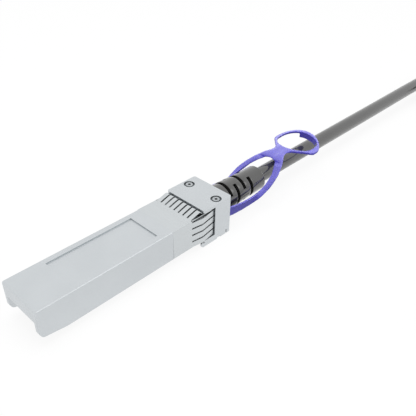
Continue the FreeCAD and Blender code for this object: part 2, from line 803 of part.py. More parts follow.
def crimp_ferrule(end):
    """Ring with a rolled rim, crimped on the jacket and held in the saddle."""
    start = bay_start + dim.clearance * 2
    outer = dim.cable_radius + dim.ferrule_wall
    ring = rod(start, 0, dim.cable_height, outer, dim.ferrule_length)
    bore = rod(start - 1, 0, dim.cable_height, dim.cable_radius, dim.ferrule_length + 2)
    keep(end, "crimp_ferrule", cut(ring, [bore]))


def strain_relief(end):
    """Moulded boot: flange and neck held by the housing, and slots that let it bend."""
    body = doc.addObject("PartDesign::Body", "strain_relief")
    height = (zero, dim.cable_height, zero)
    bore = dim.cable_radius
    flange_end = rear_inner - dim.clearance
    flange_start = flange_end - dim.flange_thickness
    profile = sketch_on(body, "XZ_Plane", [
        (flange_start, bore), (flange_start, dim.boot_flange_radius),
        (flange_end, dim.boot_flange_radius), (flange_end, dim.boot_neck_radius),
        (boot_start, dim.boot_neck_radius), (boot_start, dim.boot_radius),
        (boot_start + dim.boot_length * 0.6, dim.boot_end_radius + 0.1),
        (boot_end - 0.5, dim.boot_end_radius), (boot_end, dim.boot_end_radius - 0.5),
        (boot_end, bore),
    ], height)
    turned = body.newObject("PartDesign::Revolution", "boot")
    turned.Profile = profile
    turned.ReferenceAxis = (profile, ["H_Axis"])
    turned.Angle = 360
    doc.recompute()
    skin = dim.cable_radius + dim.boot_skin
    for role, first in (("XZ_Plane", 0), ("XY_Plane", 1)):
        offset = height if role == "XZ_Plane" else (zero, zero, dim.cable_height)
        sketch = sketch_on(body, role, slot_outline(first, skin), offset)
        draw(sketch, slot_outline(first + 2, skin))
        groove = body.newObject("PartDesign::Groove", "slots")
        groove.Profile = sketch
        groove.ReferenceAxis = (sketch, ["H_Axis"])
        groove.Midplane = True
        bind(groove, "Angle", dim.boot_slot_angle)
        turned_copy(body, groove, sketch, "H_Axis")
    keep(end, "strain_relief", body)


def slot_outline(number, skin):
    """Outline of one of the boot's slots, from its skin to beyond its surface."""
    low = boot_start + dim.boot_slot_start + dim.boot_slot_pitch * number
    return [(low, skin), (low + dim.boot_slot, skin), (low + dim.boot_slot, dim.boot_radius + 1),
            (low, dim.boot_radius + 1)]


def arm_stations():
    """Outer face of one arm: distance from the housing, offset and height of its middle, width and lean.

    The lean is the turn of the face from upright beside the boot, 0 degrees, to flat over the cable, 90.
    The arm dips a little beside the boot, then rises and closes over the cable.
    """
    side, over = float(arm_outer), float(dim.waist_height)
    wide, reach = float(dim.arm_width), float(dim.tab_reach) / 44.4
    root = float(ear_start + dim.clearance * 2 - dim.housing_end)
    return ((root, side, 0.0, wide, 0), (0.4 * reach, side, -over * 0.05, wide, 0),
            (3.0 * reach, side * 0.99, -over * 0.16, wide * 0.95, -3),
            (6.0 * reach, side * 0.985, -over * 0.225, wide * 0.85, -3),
            (9.0 * reach, side * 0.985, -over * 0.24, wide * 0.74, 0),
            (12.0 * reach, side * 0.99, -over * 0.175, wide * 0.62, 22),
            (13.5 * reach, side * 0.98, -over * 0.11, wide * 0.58, 42),
            (15.0 * reach, side * 0.967, -over * 0.01, wide * 0.57, 62),
            (16.5 * reach, side * 0.95, over * 0.1, wide * 0.59, 76),
            (18.0 * reach, side * 0.92, over * 0.22, wide * 0.62, 84),
            (21.0 * reach, side * 0.82, over * 0.465, wide * 0.69, 87),
            (24.0 * reach, side * 0.61, over * 0.72, wide * 0.79, 87),
            (26.0 * reach, side * 0.42, over * 0.885, wide * 0.84, 87),
            (28.0 * reach, side * 0.25, over * 0.975, wide * 0.8, 88),
            (30.5 * reach, side * 0.17, over, wide * 0.6, 89))


def arm(side):
    """One arm of the tab, lofted through its stations."""
    stations = arm_stations()
    thick = float(dim.tab_thickness)
    axis = float(dim.cable_height)
    middles = [FreeCAD.Vector(float(dim.housing_end) + x, y * side, axis + z)
               for x, y, z, width, lean in stations]
    wires = []
    for number, (x, y, z, width, lean) in enumerate(stations):
        before = middles[max(number - 1, 0)]
        after = middles[min(number + 1, len(middles) - 1)]
        along = (after - before).normalize()
        turn = math.radians(lean)
        down = FreeCAD.Vector(0, math.sin(turn) * side, -math.cos(turn))
        down = (down - along * down.dot(along)).normalize()
        inward = down.cross(along) * side
        half = down * (width / 2)
        outer = middles[number]
        corners = [outer - half, outer + half, outer + half + inward * thick,
                   outer - half + inward * thick]
        wires.append(Part.makePolygon(corners + corners[:1]))
    return Part.makeLoft(wires, True, True)


def mirrored_outline(half):
    """A closed face from arcs and lines along one side, each (start, via, end), and their mirror image."""
    edges = []
    for stretch in half + [[(x, -y) for x, y in reversed(s)] for s in reversed(half)]:
        points = [FreeCAD.Vector(x, y, 0) for x, y in stretch]
        if (points[-1] - points[0]).Length < 1e-6:
            continue
        if len(points) == 3:
            edges.append(Part.Arc(*points).toShape())
        else:
            edges.append(Part.LineSegment(*points).toShape())
    return Part.Face(Part.Wire(Part.__sortEdges__(edges)))


def pull_tab(end):
    """Moulded tab: two arms that meet over the cable in a waist, and an arched finger ring."""
    far = float(dim.housing_end + dim.tab_reach)
    half, rim = float(dim.ring_width) / 2, float(dim.ring_rim)
    narrow = float(dim.waist_width) / 2
    crotch = far - half * 2.45
    front = crotch - half * 0.05
    neck = far - half * 1.87
    outline = mirrored_outline([
        [(front, 0.0), (front, narrow * 1.78)],
        [(front, narrow * 1.78), (far - half * 2.25, narrow * 1.27), (neck, narrow)],
        [(neck, narrow), (far - half * 1.72, half * 0.35), (far - half * 1.59, half * 0.454)],
        [(far - half * 1.59, half * 0.454), (far - half * 1.07, half * 0.9)],
        [(far - half * 1.07, half * 0.9), (far - half * 0.92, half * 0.977), (far - half * 0.75, half)],
        [(far - half * 0.75, half), (far - half * 0.395, half * 0.888), (far - half * 0.17, half * 0.63)],
        [(far - half * 0.17, half * 0.63), (far - half * 0.04, half * 0.33), (far, 0.0)],
    ])
    inside = half - rim
    hole = mirrored_outline([
        [(neck + rim * 1.2, 0.0), (neck + rim * 1.5, inside * 0.4), (neck + rim * 2.45, inside * 0.765)],
        [(neck + rim * 2.45, inside * 0.765), (far - half * 1.08, inside * 0.957),
         (far - half * 0.83, inside)],
        [(far - half * 0.83, inside), (far - rim * 1.9, inside * 0.866), (far - rim * 1.24, inside * 0.58)],
        [(far - rim * 1.24, inside * 0.58), (far - rim * 0.9, inside * 0.3), (far - rim * 0.8, 0.0)],
    ])
    round_off = float(dim.crotch_radius)
    gap = Part.makeCylinder(round_off, 40, FreeCAD.Vector(crotch - round_off, 0, 0))
    plan = outline.cut(hole).extrude(FreeCAD.Vector(0, 0, 40)).cut(gap)

    axis = float(dim.cable_height)
    waist_top, ring_top = axis + float(dim.waist_height), axis + float(dim.ring_height)
    slope = math.atan2(ring_top - waist_top, far - neck)
    along = FreeCAD.Vector(math.cos(slope), 0, math.sin(slope))
    bend, thick = float(dim.ring_width) * 1.15, float(dim.tab_thickness)
    start = FreeCAD.Vector(neck, 0, waist_top - bend) - along * 20
    top = Part.makeCylinder(bend, 60, start, along)
    plate = plan.common(top).cut(Part.makeCylinder(bend - thick, 60, start, along))
    plate = plate.common(Part.makeBox(60, 40, 40, FreeCAD.Vector(front - 1, -20, axis)))
    rib = hole.makeOffset2D(rim / 2).cut(hole).extrude(FreeCAD.Vector(0, 0, 40))
    lip = rib.common(top).cut(Part.makeCylinder(bend - float(dim.lip_depth), 60, start, along))
    lip = lip.common(Part.makeBox(60, half * 0.66, 40, FreeCAD.Vector(far - half * 0.65, -half * 0.39, axis)))
    body = plate.fuse([lip, arm(1), arm(-1)])
    holes = Part.makeCylinder(float(dim.pin_radius) + 0.02, float(beyond * 2),
                              FreeCAD.Vector(float(ear_start + dim.ear_length / 2), -float(beyond), axis),
                              FreeCAD.Vector(0, 1, 0))
    tab = doc.addObject("Part::Feature", "pull_tab")
    tab.Shape = body.cut(holes)
    keep(end, "pull_tab", tab)


def keep_cable(name, thing):
    """Names a piece of the cable. Its points are already on the surface that the plugs stand on."""
    pieces.append(thing)
    thing.Label = name


def cable_run(name, points):
    """The cable along a stretch that isn't wound."""
    shape, length, bends = tube(points, float(dim.cable_radius))
    run = doc.addObject("Part::Feature", name)
    run.Shape = shape
    keep_cable(name, run)
    section = math.pi * float(dim.cable_radius) ** 2
    print(name, "length", round(length, 2), "bend radii", [round(bend, 1) for bend in bends],
          "volume", round(shape.Volume, 1), "section times length", round(section * length, 1))


def near_cable_run():
    """From the near plug's ferrule straight out past the boot to the coil."""
    start = float(dim.jacket_start - foot_x)
    level = float(dim.cable_height + dim.housing_drop)
    end = float(dim.coil_x - foot_x - dim.run_lead)
    cable_run("near_cable_run", [
        FreeCAD.Vector(start, 0, level), FreeCAD.Vector(start + (end - start) * 0.3, 0, level),
        FreeCAD.Vector(start + (end - start) * 0.66, float(dim.run_sway), level - float(dim.run_sway) / 2),
        FreeCAD.Vector(end, 0, float(dim.run_height))])


def far_cable_run():
    """From the far plug's ferrule out past its boot, round to the coil."""
    start = float(dim.far_x + dim.jacket_start - foot_x)
    level = float(dim.cable_height + dim.housing_drop)
    y = float(dim.far_y)
    end = FreeCAD.Vector(float(dim.coil_x - foot_x - dim.far_lead),
                         float(dim.coil_y - dim.coil_radius - dim.cable_radius * dim.coil_layers - 0.2),
                         float(dim.far_height))
    cable_run("far_cable_run", [
        FreeCAD.Vector(start, y, level), FreeCAD.Vector(start + (end.x - start) * 0.51, y, level), end])


def cable_coil():
    """Outer shape of the wound cable, on the strap that holds it."""
    x, y = dim.coil_x - foot_x, dim.coil_y
    turns = dim.cable_radius * dim.coil_layers
    outer = rod(x, y, dim.tie_thickness, dim.coil_radius + turns, dim.coil_height, along="z")
    inner = rod(x, y, zero - 1, dim.coil_radius - turns, dim.coil_height + 4, along="z")
    ring = rounded(cut(outer, [inner]), dim.cable_radius * 0.7, lambda a, b: same(a.z, b.z),
                   "Part::Chamfer")
    keep_cable("cable_coil", ring)


def coil_tie():
    """Strap round the turns on one side of the coil."""
    x = dim.coil_x - foot_x
    turns = dim.cable_radius * dim.coil_layers
    inside, outside = dim.coil_radius - turns - 0.35, dim.coil_radius + turns
    t = dim.tie_thickness
    width = (dim.coil_y - dim.tie_width / 2, dim.coil_y + dim.tie_width / 2)
    hole = (dim.coil_y - dim.tie_width, dim.coil_y + dim.tie_width)
    strap = block((x + inside - t, x + outside + t), width, (zero, dim.coil_height + t * 2))
    bundle = block((x + inside, x + outside), hole, (t, dim.coil_height + t))
    keep_cable("coil_tie", cut(strap, [bundle]))


MAKERS = (top_shell, bottom_shell, emi_spring, cover_screws, latch_cover, latch_slide, return_springs,
          tab_pins, paddle_card, card_contacts, memory_chip, capacitors, twinax_cores, wire_comb,
          crimp_ferrule, strain_relief, pull_tab)
for plug in ("near", "far"):
    for make in MAKERS:
        make(plug)
near_cable_run()
cable_coil()
far_cable_run()
coil_tie()

doc.recompute()
for thing in doc.Objects:
    if "Invalid" in thing.State or "Error" in thing.State:
        raise RuntimeError(f"{thing.Name} {thing.Label} did not build: {thing.State}")
for thing in pieces:
    if thing.Shape.isNull() or not thing.Shape.isValid():
        raise RuntimeError(f"{thing.Label} has no valid shape")
    print(thing.Label, "solids", len(thing.Shape.Solids), "volume", round(thing.Shape.Volume, 2),
          "box", thing.Shape.BoundBox)

os.makedirs("parts", exist_ok=True)
for thing in pieces:
    thing.Shape.exportStep(f"parts/{thing.Label}.step")
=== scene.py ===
"""Direct attach copper cable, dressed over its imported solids: two plugs on one coiled twinax cable."""
import bmesh
import bpy
import math
from mathutils import Matrix, Vector
from mathutils.bvhtree import BVHTree


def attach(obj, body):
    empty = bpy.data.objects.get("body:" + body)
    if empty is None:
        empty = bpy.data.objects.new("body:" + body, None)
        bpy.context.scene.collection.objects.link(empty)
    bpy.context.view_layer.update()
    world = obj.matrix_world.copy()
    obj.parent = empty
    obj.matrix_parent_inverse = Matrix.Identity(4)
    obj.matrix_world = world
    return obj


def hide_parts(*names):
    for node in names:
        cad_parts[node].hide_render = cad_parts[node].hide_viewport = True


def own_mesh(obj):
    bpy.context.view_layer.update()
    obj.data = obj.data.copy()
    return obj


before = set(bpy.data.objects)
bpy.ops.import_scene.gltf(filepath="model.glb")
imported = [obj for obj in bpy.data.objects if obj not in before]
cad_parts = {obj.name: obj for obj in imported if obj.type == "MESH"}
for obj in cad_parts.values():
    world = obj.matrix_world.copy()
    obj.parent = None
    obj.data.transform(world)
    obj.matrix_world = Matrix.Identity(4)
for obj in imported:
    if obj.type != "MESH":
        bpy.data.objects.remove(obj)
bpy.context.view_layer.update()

# Upper casting
# Zinc die casting, plated with satin nickel: the nose legs, the roof with its shallow label recess, the
# side walls and the raised housing over the cable's end. It is held to the lower casting by two screws.
MM = 0.001
ENDS = ("near", "far")
PLUG_AT = {"near": Vector((-53.35, 0.0, 2.0)), "far": Vector((10.95, -67.4, 2.0))}
# How close points are one point, how flat faces are one face, and how close an edge is to its place
SAME_PLACE = 0.0015 * MM
SAME_FACE = math.radians(0.6)
AT_SPOT = 0.06 * MM
CAST_EDGE = 0.09 * MM
CAST_TONE = (0.635, 0.665, 0.685, 1.0)
CAST_SHADE = (0.615, 0.645, 0.665, 1.0)
# The colour that paints shade into the casting's slots and corners
CAST_CREVICE_SHADE = (0.36, 0.38, 0.39, 1.0)


def place_on_plug(end, x, y, z):
    """A point of the plug's drawing, in millimetres, where that plug stands."""
    return (PLUG_AT[end] + Vector((x, y, z))) * MM


def rounded(piece, width, turn):
    """Rounds the edges of a piece that turn by more than an angle, to a width."""
    bevel = piece.modifiers.new("edge", "BEVEL")
    bevel.width = width
    bevel.segments = 2
    bevel.limit_method = "ANGLE"
    bevel.angle_limit = math.radians(turn)


def copied(node, name, edge, turn=38, moved=None, blunted=()):
    """A copy of a solid's mesh with its facets joined and its sharp edges rounded to a width.

    Edges across the plug are first blunted at each given place, to the width given with it.
    """
    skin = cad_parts[node].data.copy()
    work = bmesh.new()
    work.from_mesh(skin)
    bmesh.ops.remove_doubles(work, verts=work.verts, dist=SAME_PLACE)
    bmesh.ops.dissolve_limit(work, angle_limit=SAME_FACE, verts=work.verts, edges=work.edges)
    for vertex in work.verts if moved else ():
        vertex.co = moved(vertex.co)
    for spot, width in blunted:
        across = [line for line in work.edges if all(
            abs(tip.co.x - spot.x) + abs(tip.co.z - spot.z) < AT_SPOT for tip in line.verts)]
        bmesh.ops.bevel(work, geom=across, offset=width, segments=6, profile=0.5, affect="EDGES",
                        clamp_overlap=True)
    work.to_mesh(skin)
    work.free()
    piece = bpy.data.objects.new(name, skin)
    bpy.context.scene.collection.objects.link(piece)
    rounded(piece, edge, turn)
    piece.data.shade_smooth()
    return baked(piece)


def refined(node, name, edge, turn=38, **changes):
    """A rounded copy of a solid with flat large faces, its slots and corners marked for painted shade."""
    piece = copied(node, name, edge, turn, **changes)
    flat_faced(piece, turn)
    shaded_in_crevices(piece)
    return piece


def flat_faced(piece, turn):
    """Keeps the large faces flat in the light, with the turn taken by the narrow faces between them."""
    piece.data.set_sharp_from_angle(angle=math.radians(turn))
    weigh = piece.modifiers.new("flat", "WEIGHTED_NORMAL")
    weigh.keep_sharp = True
    weigh.weight = 90
    baked(piece)


def baked(piece):
    """Turns what the modifiers make of a piece into its plain mesh."""
    seen = piece.evaluated_get(bpy.context.evaluated_depsgraph_get())
    plain = bpy.data.meshes.new_from_object(seen)
    piece.modifiers.clear()
    piece.data = plain
    return piece


def open_tree():
    """A search tree over all the solids, to tell what lies near a face."""
    corners, faces = [], []
    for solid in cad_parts.values():
        first = len(corners)
        corners.extend(tuple(vertex.co) for vertex in solid.data.vertices)
        faces.extend(tuple(first + index for index in face.vertices) for face in solid.data.polygons)
    return BVHTree.FromPolygons(corners, faces)


SOLIDS = open_tree()
GOLDEN_TURN = 2.39996


def half_sphere(count=20):
    """Directions spread evenly over the upper half of a sphere, each a golden turn from the last."""
    ways = []
    for number in range(count):
        rise = (number + 0.5) / count
        reach = math.sqrt(1 - rise ** 2)
        angle = GOLDEN_TURN * number
        ways.append(Vector((reach * math.cos(angle), reach * math.sin(angle), rise)))
    return ways


HALF_SPHERE = half_sphere()
# How far a face looks for what closes it in, and how far off the face it starts, in millimetres
CREVICE_REACH = 3.0
CREVICE_START = 0.02


def shaded_in_crevices(piece):
    """Stores on each face how far it lies in a slot or corner, where the materials paint shade."""
    mesh = piece.data
    store = mesh.attributes.new("crevice", "FLOAT", "FACE")
    for face in mesh.polygons:
        turn = face.normal.to_track_quat("Z", "Y")
        closed = weight = 0.0
        for way in HALF_SPHERE:
            out = turn @ way
            weight += way.z
            start = face.center + face.normal * CREVICE_START * MM
            place, facing = SOLIDS.ray_cast(start, out, CREVICE_REACH * MM)[:2]
            if place is not None and facing.dot(out) < 0:
                closed += way.z
        store.data[face.index].value = closed / weight


def finish_with(piece, material, body, slot, *nodes):
    """Gives a piece its material and the body it moves with, and hides the solids that it stands for."""
    piece.data.materials.clear()
    piece.data.materials.append(material)
    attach(piece, body)
    if nodes:
        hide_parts(*nodes)
    return piece


def coat_solid(node, material):
    """Gives a solid that is shown as it is a better material."""
    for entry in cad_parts[node].material_slots:
        entry.material = material


def wire(tree, *links):
    """Joins sockets of a node tree, each link as (node, output, node, input)."""
    for source, outlet, target, inlet in links:
        tree.links.new(source.outputs[outlet], target.inputs[inlet])


def surface_group(name, inlets, outlets):
    """An empty shader group with named inputs and outputs."""
    group = bpy.data.node_groups.new(name, "ShaderNodeTree")
    for label, kind, value in inlets:
        socket = group.interface.new_socket(label, in_out="INPUT", socket_type=kind)
        socket.default_value = value
    for label, kind in outlets:
        group.interface.new_socket(label, in_out="OUTPUT", socket_type=kind)
    return group, group.nodes.new("NodeGroupInput"), group.nodes.new("NodeGroupOutput")


SKIN_OUTPUTS = [("Color", "NodeSocketColor"), ("Roughness", "NodeSocketFloat"), ("Height", "NodeSocketFloat"),
                ("Shine", "NodeSocketFloat")]
# How closed in a face is where the painted shade starts, and where it is full
CREVICE_SHADE_FROM, CREVICE_SHADE_FULL = 0.28, 0.62


def paint_crevice_shade(group, colour, inlet, outlet):
    """Paints shade into a colour in slots and corners, and takes the shine from them."""
    mask = group.nodes.new("ShaderNodeAttribute")
    mask.attribute_name = "crevice"
    step = group.nodes.new("ShaderNodeMapRange")
    step.inputs["From Min"].default_value = CREVICE_SHADE_FROM
    step.inputs["From Max"].default_value = CREVICE_SHADE_FULL
    shine = group.nodes.new("ShaderNodeMapRange")
    shine.inputs["To Min"].default_value = 1.0
    shine.inputs["To Max"].default_value = 0.0
    dark = group.nodes.new("ShaderNodeMix")
    dark.data_type = "RGBA"
    wire(group, (mask, "Fac", step, "Value"), (step, "Result", dark, 0), (colour, 2, dark, 6),
         (inlet, "Crevice Shade", dark, 7), (dark, 2, outlet, "Color"), (step, "Result", shine, "Value"),
         (shine, "Result", outlet, "Shine"))


def grain_group():
    """Cast or moulded skin: fine grain, a slow drift of tone, a rough mask, a height and painted shade in
    slots.
    """
    group, inlet, outlet = surface_group("skin_grain", [
        ("Grain", "NodeSocketFloat", 6000.0), ("Drift", "NodeSocketFloat", 220.0),
        ("Tone", "NodeSocketColor", (0.5, 0.5, 0.5, 1)), ("Shade", "NodeSocketColor", (0.4, 0.4, 0.4, 1)),
        ("Crevice Shade", "NodeSocketColor", (0.1, 0.1, 0.1, 1)),
        ("Smooth", "NodeSocketFloat", 0.3), ("Dull", "NodeSocketFloat", 0.45)],
        SKIN_OUTPUTS)
    place = group.nodes.new("ShaderNodeTexCoord")
    fine = group.nodes.new("ShaderNodeTexNoise")
    fine.inputs["Detail"].default_value = 3.0
    slow = group.nodes.new("ShaderNodeTexNoise")
    slow.inputs["Detail"].default_value = 2.0
    spread = group.nodes.new("ShaderNodeMapRange")
    spread.inputs["From Min"].default_value = 0.32
    spread.inputs["From Max"].default_value = 0.68
    blend = group.nodes.new("ShaderNodeMix")
    blend.data_type = "RGBA"
    dull = group.nodes.new("ShaderNodeMapRange")
    wire(group, (place, "Object", fine, "Vector"), (place, "Object", slow, "Vector"),
         (inlet, "Grain", fine, "Scale"), (inlet, "Drift", slow, "Scale"),
         (slow, "Fac", spread, "Value"), (spread, "Result", blend, 0),
         (inlet, "Tone", blend, 6), (inlet, "Shade", blend, 7),
         (fine, "Fac", dull, "Value"), (inlet, "Smooth", dull, "To Min"), (inlet, "Dull", dull, "To Max"),
         (dull, "Result", outlet, "Roughness"), (fine, "Fac", outlet, "Height"))
    paint_crevice_shade(group, blend, inlet, outlet)
    return group


def surface(name, constants, group, values, relief, coated=False):
    """A principled surface fed by one shader group, with a bump of the given depth in metres.

    A coated one has a clear shine on top, which is taken from the slots and corners along with the painted
    shade there.
    """
    material = bpy.data.materials.new(name)
    material.use_nodes = True
    tree = material.node_tree
    shader = tree.nodes["Principled BSDF"]
    for label, value in constants.items():
        shader.inputs[label].default_value = value
    skin = tree.nodes.new("ShaderNodeGroup")
    skin.node_tree = group
    for label, value in values.items():
        skin.inputs[label].default_value = value
    wire(tree, (skin, "Color", shader, "Base Color"), (skin, "Roughness", shader, "Roughness"))
    if coated:
        wire(tree, (skin, "Shine", shader, "Coat Weight"))
    bump = tree.nodes.new("ShaderNodeBump")
    bump.inputs["Strength"].default_value = 1.0
    bump.inputs["Distance"].default_value = relief
    wire(tree, (skin, "Height", bump, "Height"), (bump, "Normal", shader, "Normal"))
    return material


SKIN_GRAIN = grain_group()
cast_nickel = surface("satin_nickel_casting", {"Metallic": 1.0}, SKIN_GRAIN, {
    "Grain": 5200.0, "Drift": 160.0, "Tone": CAST_TONE, "Shade": CAST_SHADE, "Crevice Shade": CAST_CREVICE_SHADE,
    "Smooth": 0.34, "Dull": 0.46}, 0.0035 * MM)
# The corners at the front of each leg: how far back and how high, and how wide each is rounded
LEG_CORNERS = [(0.59, 0.91, 0.85), (0.0, 2.2, 0.5)]
for end in ENDS:
    corners = [(place_on_plug(end, x, 0, z), width * MM) for x, z, width in LEG_CORNERS]
    shell = refined(f"{end}_top_shell", f"{end}_upper_casting", CAST_EDGE, blunted=corners)
    finish_with(shell, cast_nickel, "cable", "cast_nickel", f"{end}_top_shell")

# Lower casting
# The other half of the same casting, hidden between the side walls: tray, latch boss, card ledges, spring
# grooves and the saddle that grips the cable. It drops in from below and takes the two screws.
for end in ENDS:
    tray = refined(f"{end}_bottom_shell", f"{end}_lower_casting", CAST_EDGE * 0.7)
    finish_with(tray, cast_nickel, "cable", "cast_nickel", f"{end}_bottom_shell")

# Spring collar
# A strip of thin stainless spring steel, stamped with two rows of fingers, folded round the body and let
# flush into it. The fingers bow outwards to touch the walls of the cage and end under the housing's lip.
SHEET_TONE = (0.66, 0.69, 0.705, 1.0)
SHEET_SHADE = (0.60, 0.63, 0.645, 1.0)
# The colour that paints shade into the sheet's slots and gaps
SHEET_CREVICE_SHADE = (0.42, 0.44, 0.45, 1.0)
# The strip's thickness, and the body that it is folded round: half its width, and its height
SHEET = 0.2
BODY_HALF, BODY_HIGH = 6.7, 8.5
FINGER_EDGE = 0.03 * MM


def brushed_group():
    """Rolled sheet: long faint streaks across the strip, in tone, roughness and height, and painted shade in
    slots.
    """
    group, inlet, outlet = surface_group("rolled_streaks", [
        ("Streaks", "NodeSocketFloat", 900.0), ("Tone", "NodeSocketColor", (0.6, 0.6, 0.6, 1)),
        ("Shade", "NodeSocketColor", (0.5, 0.5, 0.5, 1)),
        ("Crevice Shade", "NodeSocketColor", (0.1, 0.1, 0.1, 1)), ("Smooth", "NodeSocketFloat", 0.28),
        ("Dull", "NodeSocketFloat", 0.4)],
        SKIN_OUTPUTS)
    place = group.nodes.new("ShaderNodeTexCoord")
    stretch = group.nodes.new("ShaderNodeMapping")
    stretch.inputs["Scale"].default_value = (8.0, 0.35, 8.0)
    streak = group.nodes.new("ShaderNodeTexNoise")
    streak.inputs["Detail"].default_value = 4.0
    blend = group.nodes.new("ShaderNodeMix")
    blend.data_type = "RGBA"
    dull = group.nodes.new("ShaderNodeMapRange")
    wire(group, (place, "Object", stretch, "Vector"), (stretch, "Vector", streak, "Vector"),
         (inlet, "Streaks", streak, "Scale"), (streak, "Fac", blend, 0), (inlet, "Tone", blend, 6),
         (inlet, "Shade", blend, 7), (streak, "Fac", dull, "Value"),
         (inlet, "Smooth", dull, "To Min"), (inlet, "Dull", dull, "To Max"),
         (dull, "Result", outlet, "Roughness"), (streak, "Fac", outlet, "Height"))
    paint_crevice_shade(group, blend, inlet, outlet)
    return group


ROLLED_STREAKS = brushed_group()
spring_sheet = surface("satin_spring_sheet", {"Metallic": 1.0}, ROLLED_STREAKS, {
    "Streaks": 900.0, "Tone": SHEET_TONE, "Shade": SHEET_SHADE, "Crevice Shade": SHEET_CREVICE_SHADE, "Smooth": 0.3,
    "Dull": 0.42}, 0.0015 * MM)


def eased(stops, share):
    """A point on a smooth line through the stops, from 0 at the first to 1 at the last."""
    spot = min(share * (len(stops) - 1), len(stops) - 1 - 1e-6)
    number = int(spot)
    part = spot - number
    a, b, c, d = (Vector(stops[max(0, min(len(stops) - 1, number + step))]) for step in (-1, 0, 1, 2))
    return b + (c - a) * (part / 2) + (a * 2 - b * 5 + c * 4 - d) * (part ** 2 / 2) + (
        b * 3 - a - c * 3 + d) * (part ** 3 / 2)


def made(name, work):
    """A new object in the scene from a mesh that is being worked on."""
    mesh = bpy.data.meshes.new(name)
    work.to_mesh(mesh)
    work.free()
    piece = bpy.data.objects.new(name, mesh)
    bpy.context.scene.collection.objects.link(piece)
    return piece


def sheet_strip(name, stops, width, across, place, steps=18):
    """A bent strip of sheet: its outer line in two of the axes, and its width along the third."""
    line = [eased(stops, number / steps) for number in range(steps + 1)]
    work = bmesh.new()
    rings = []
    for number, spot in enumerate(line):
        ahead = line[min(number + 1, steps)] - line[max(number - 1, 0)]
        inward = Vector((ahead.y, -ahead.x)).normalized() * SHEET
        ring = []
        for depth, side in ((0, 0), (0, 1), (1, 1), (1, 0)):
            flat = spot + inward * depth
            ring.append(work.verts.new(place(flat.x, flat.y, across + width * side)))
        rings.append(ring)
    for before, after in zip(rings, rings[1:]):
        for number in range(4):
            following = (number + 1) % 4
            work.faces.new((before[number], before[following], after[following], after[number]))
    work.faces.new(rings[0])
    work.faces.new(reversed(rings[-1]))
    bmesh.ops.recalc_face_normals(work, faces=work.faces)
    strip = made(name, work)
    rounded(strip, FINGER_EDGE, 60)
    return strip


def row_tree(material):
    """Geometry nodes that repeat a stamped finger along a straight row."""
    tree = bpy.data.node_groups.new("finger_row", "GeometryNodeTree")
    face = tree.interface
    face.new_socket("Geometry", in_out="INPUT", socket_type="NodeSocketGeometry")
    face.new_socket("Fingers", in_out="INPUT", socket_type="NodeSocketInt").default_value = 8
    face.new_socket("Pitch", in_out="INPUT", socket_type="NodeSocketVector")
    face.new_socket("Geometry", in_out="OUTPUT", socket_type="NodeSocketGeometry")
    inlet, outlet = tree.nodes.new("NodeGroupInput"), tree.nodes.new("NodeGroupOutput")
    row = tree.nodes.new("GeometryNodeMeshLine")
    put = tree.nodes.new("GeometryNodeInstanceOnPoints")
    real = tree.nodes.new("GeometryNodeRealizeInstances")
    coat = tree.nodes.new("GeometryNodeSetMaterial")
    coat.inputs["Material"].default_value = material
    wire(tree, (inlet, "Fingers", row, "Count"), (inlet, "Pitch", row, "Offset"),
         (row, "Mesh", put, "Points"), (inlet, "Geometry", put, "Instance"),
         (put, "Instances", real, "Geometry"), (real, "Geometry", coat, "Geometry"),
         (coat, "Geometry", outlet, "Geometry"))
    return tree


def set_inputs(modifier, **values):
    """Sets a node modifier's inputs, found by the names that the tree gives them."""
    for socket in modifier.node_group.interface.items_tree:
        if socket.in_out == "INPUT" and socket.name in values:
            modifier[socket.identifier] = values[socket.name]


def joined(name, parts):
    """One object from several, with their meshes put together."""
    work = bmesh.new()
    for part in parts:
        work.from_mesh(part.data)
        bpy.data.objects.remove(part)
    return made(name, work)


FINGER_ROW = row_tree(spring_sheet)
# The line of a finger: how far behind the nose, and how far out of the body
TOP_WAVE = [(44.0, 0.0), (46.02, 0.63), (47.4, 0.95), (48.0, 0.475), (48.6, -0.24)]
SIDE_WAVE = [(44.0, 0.0), (46.54, 0.35), (47.74, 0.5), (50.14, 0.15), (52.3, -0.15)]
# A finger's width, where its row starts, how many there are and their pitch
TOP_FINGERS = (1.18, -6.295, 8, 1.63)
SIDE_FINGERS = (1.6, 0.1025, 4, 2.05)
# The straight strips along the two upper corners, from and to
CORNER_STRIP = (44.0, 51.3)
# Where the band starts on the sides and on top, where it ends, and how far its hems reach in below
BAND_FROM, BAND_FROM_TOP, BAND_TO, HEM = 37.88, 37.8, 44.3, 5.7
INNER_HALF, INNER_HIGH = BODY_HALF - SHEET, BODY_HIGH - SHEET
BAND = [(-BODY_HALF, 0.0), (-BODY_HALF, BODY_HIGH), (BODY_HALF, BODY_HIGH), (BODY_HALF, 0.0), (HEM, 0.0),
        (HEM, SHEET), (INNER_HALF, SHEET), (INNER_HALF, INNER_HIGH), (-INNER_HALF, INNER_HIGH),
        (-INNER_HALF, SHEET), (-HEM, SHEET), (-HEM, 0.0)]


def collar_band(end):
    """The part of the strip that is folded round the body."""
    work = bmesh.new()
    front = []
    for y, z in BAND:
        x = BAND_FROM_TOP if z > BODY_HIGH / 2 else BAND_FROM
        front.append(work.verts.new(place_on_plug(end, x, y, z)))
    rear = [work.verts.new(place_on_plug(end, BAND_TO, y, z)) for y, z in BAND]
    for number in range(len(BAND)):
        following = (number + 1) % len(BAND)
        work.faces.new((front[number], front[following], rear[following], rear[number]))
    work.faces.new(front)
    work.faces.new(rear)
    bmesh.ops.recalc_face_normals(work, faces=work.faces)
    band = made("band", work)
    rounded(band, FINGER_EDGE, 30)
    return baked(band)


